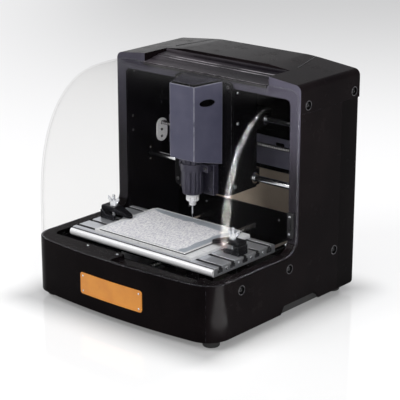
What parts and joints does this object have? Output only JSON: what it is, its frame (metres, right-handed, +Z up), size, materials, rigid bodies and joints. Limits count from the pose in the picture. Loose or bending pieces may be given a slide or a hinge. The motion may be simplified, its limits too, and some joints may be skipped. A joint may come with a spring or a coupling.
{
  "type": "cnc router",
  "caption": "Desktop CNC engraving machine: bowed steel base, square portal housing, hinged clear hood, T-slot table that slides front to back, and a spindle head that moves across and down.",
  "frame": {"origin": "centre of the footprint on the ground, under the rubber feet", "axes": "+X to the machine's right seen from the front, +Y to its rear, +Z up; the hood and the bowed base face -Y"},
  "size_m": [0.43, 0.42, 0.428],
  "materials": {
    "black_gloss_paint": "gloss powder coat, near black",
    "rubber": "matt black rubber",
    "black_steel": "satin black",
    "chrome": "bright plated",
    "steel": "plain ground steel",
    "brass": "machined brass",
    "aluminium": "clear anodised extrusion",
    "beige_paint": "matt beige sheet",
    "violet_anodised": "dark violet grey anodised",
    "lavender_paint": "satin violet grey paint",
    "white_board": "plain white board",
    "work_metal": "etched light metal plate",
    "circuit_board": "green circuit board",
    "rocker_plastic": "red rocker",
    "clear_acrylic": "clear polished acrylic"
  },
  "bodies": {
    "frame": {"base_pan": "black_steel", "front_panel": "black_gloss_paint", "side_cover_left": "black_gloss_paint", "side_cover_right": "black_gloss_paint", "rear_cover": "black_gloss_paint", "top_cover": "black_gloss_paint", "foot_front_left": "rubber", "foot_front_right": "rubber", "foot_rear_left": "rubber", "foot_rear_right": "rubber", "portal_plate_left": "black_steel", "portal_plate_right": "black_steel", "front_crossmember": "black_steel", "rear_crossmember": "black_steel", "rear_inner_sheet": "beige_paint", "portal_cross_plate": "violet_anodised", "x_rod_upper": "chrome", "x_rod_lower": "chrome", "x_bearing_plate": "chrome", "x_motor": "black_steel", "table_rod_left": "chrome", "table_rod_right": "chrome", "table_motor": "black_steel", "table_home_sensor": "chrome", "hood_switch": "black_steel", "power_inlet": "black_steel", "power_supply": "steel", "control_board": "circuit_board", "hinge_pin": "steel"},
    "hood": {"hood": "clear_acrylic"},
    "table": {"table": "aluminium", "table_saddle": "black_steel", "table_screw_nut": "brass", "spoil_board": "white_board", "work_plate": "work_metal"},
    "table_screw": {"table_screw": "chrome"},
    "clamp_left": {"clamp_left": "black_steel", "clamp_bolt_left": "chrome"},
    "clamp_right": {"clamp_right": "black_steel", "clamp_bolt_right": "chrome"},
    "wing_nut_left": {"wing_nut_left": "chrome"},
    "wing_nut_right": {"wing_nut_right": "chrome"},
    "x_carriage": {"x_carriage": "black_steel", "x_screw_nut": "brass", "carriage_front_plate": "black_steel", "head_cover": "lavender_paint", "z_motor": "black_steel", "z_rail_left": "chrome", "z_rail_right": "chrome"},
    "x_screw": {"x_screw": "steel", "x_coupling": "black_steel"},
    "z_slide": {"z_slide": "violet_anodised", "z_screw_nut": "brass", "spindle_body": "violet_anodised", "spindle_clamp": "violet_anodised"},
    "z_screw": {"z_screw": "steel"},
    "spindle": {"spindle_shaft": "steel", "collet_nut": "chrome", "cutter": "steel"},
    "rocker": {"power_rocker": "rocker_plastic"}
  },
  "joints": [
    {"name": "hood_hinge", "type": "hinge", "parent": "frame", "child": "hood", "pos_m": [0, 0.0875, 0.412], "axis": [-1, 0, 0], "range_deg": [0, 75]},
    {"name": "table_slide", "type": "slide", "parent": "frame", "child": "table", "axis": [0, 1, 0], "range_m": [0, 0.15]},
    {"name": "x_slide", "type": "slide", "parent": "frame", "child": "x_carriage", "axis": [1, 0, 0], "range_m": [-0.102, 0.102]},
    {"name": "z_travel", "type": "slide", "parent": "x_carriage", "child": "z_slide", "axis": [0, 0, 1], "range_m": [-0.004, 0.05]},
    {"name": "spindle_spin", "type": "hinge", "parent": "z_slide", "child": "spindle", "pos_m": [0.0025, -0.0005, 0.193], "axis": [0, 0, 1], "continuous": true},
    {"name": "table_screw_spin", "type": "hinge", "parent": "frame", "child": "table_screw", "pos_m": [0, 0, 0.082], "axis": [0, 1, 0], "continuous": true},
    {"name": "x_screw_spin", "type": "hinge", "parent": "frame", "child": "x_screw", "pos_m": [0, 0.1335, 0.2645], "axis": [1, 0, 0], "continuous": true},
    {"name": "z_screw_spin", "type": "hinge", "parent": "x_carriage", "child": "z_screw", "pos_m": [0.0025, 0.06, 0.192], "axis": [0, 0, 1], "continuous": true},
    {"name": "clamp_left_slide", "type": "slide", "parent": "table", "child": "clamp_left", "axis": [-1, 0, 0], "range_m": [0, 0.02]},
    {"name": "clamp_right_slide", "type": "slide", "parent": "table", "child": "clamp_right", "axis": [1, 0, 0], "range_m": [0, 0.02]},
    {"name": "wing_nut_left_spin", "type": "hinge", "parent": "clamp_left", "child": "wing_nut_left", "pos_m": [-0.143, -0.0555, 0.126], "axis": [0, 0, 1], "continuous": true},
    {"name": "wing_nut_right_spin", "type": "hinge", "parent": "clamp_right", "child": "wing_nut_right", "pos_m": [0.143, -0.0555, 0.126], "axis": [0, 0, 1], "continuous": true},
    {"name": "rocker_tilt", "type": "hinge", "parent": "frame", "child": "rocker", "pos_m": [-0.126, 0.204, 0.044], "axis": [1, 0, 0], "range_deg": [0, 11]}
  ],
  "couplings": [
    {"joint": "table_screw_spin", "follows": "table_slide", "rad_per_m": -1256.6},
    {"joint": "x_screw_spin", "follows": "x_slide", "rad_per_m": -1256.6},
    {"joint": "z_screw_spin", "follows": "z_travel", "rad_per_m": -1256.6}
  ]
}
